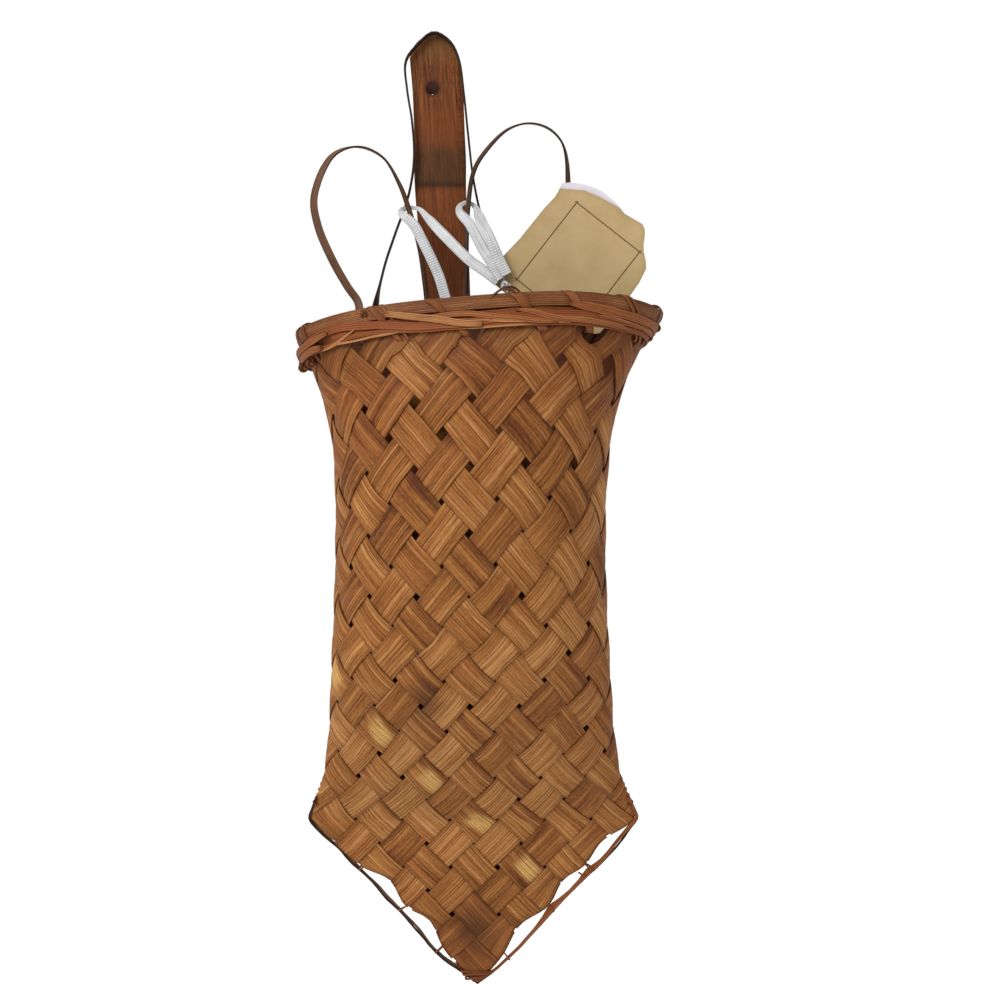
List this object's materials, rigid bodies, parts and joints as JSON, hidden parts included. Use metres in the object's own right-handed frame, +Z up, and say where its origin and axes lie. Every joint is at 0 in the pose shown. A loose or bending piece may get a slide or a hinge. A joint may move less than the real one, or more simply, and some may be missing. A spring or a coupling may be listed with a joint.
{
  "type": "wall pocket basket",
  "caption": "Bias-woven bamboo wall pocket with a folded point, a lashed rim, handle loops, a ribbon-tied paper tag and a back slat with a nail hole.",
  "frame": {"origin": "middle of the nail hole in the hanging slat, at the slat's back face, which lies on the wall", "axes": "+Z up, +Y into the wall, -Y out to the room, +X to the right seen from the room"},
  "size_m": [0.1641, 0.0973, 0.44],
  "materials": {
    "splint": "aged tan bamboo splint, fine ridges, satin",
    "rim_splint": "orange-brown bamboo splint, satin",
    "hoop": "brown bamboo band, satin",
    "dark_splint": "dark smoked bamboo splint, satin",
    "slat": "reddish brown bamboo strip with one node, waxed",
    "tag_paper": "buff kraft paper with a thin brown border line, uncoated",
    "card": "pale lavender card, uncoated",
    "ribbon": "white crimped curling ribbon, soft sheen"
  },
  "bodies": {
    "basket": {"splint_01": "splint", "splint_02": "splint", "splint_03": "splint", "splint_04": "splint", "splint_05": "splint", "splint_06": "splint", "splint_07": "splint", "splint_08": "splint", "splint_09": "splint", "splint_10": "splint", "splint_11": "splint", "splint_12": "splint", "splint_13": "splint", "splint_14": "splint", "rim_inner_hoop": "hoop", "rim_outer_hoop": "hoop", "rim_strip_1": "rim_splint", "rim_strip_2": "rim_splint", "rim_strip_3": "rim_splint", "rim_lashing": "rim_splint", "hanging_slat": "slat", "slat_tie_1": "dark_splint", "slat_tie_2": "dark_splint", "loop_left": "dark_splint", "loop_centre": "dark_splint", "loop_right": "dark_splint", "edge_cord_left_a": "splint", "edge_cord_left_b": "splint", "edge_cord_right_a": "splint", "edge_cord_right_b": "splint", "corner_tie_left": "dark_splint", "corner_tie_right": "dark_splint", "tip_wrap": "dark_splint", "ribbon_knot": "ribbon", "ribbon_left": "ribbon", "ribbon_right": "ribbon"},
    "tag": {"hang_tag": "tag_paper", "backing_card": "card"}
  },
  "joints": [
    {"name": "tag_swing", "type": "hinge", "parent": "basket", "child": "tag", "pos_m": [0.0327, -0.034, -0.0894], "axis": [-0.2079, -0.9781, 0], "range_deg": [0, 35]}
  ]
}
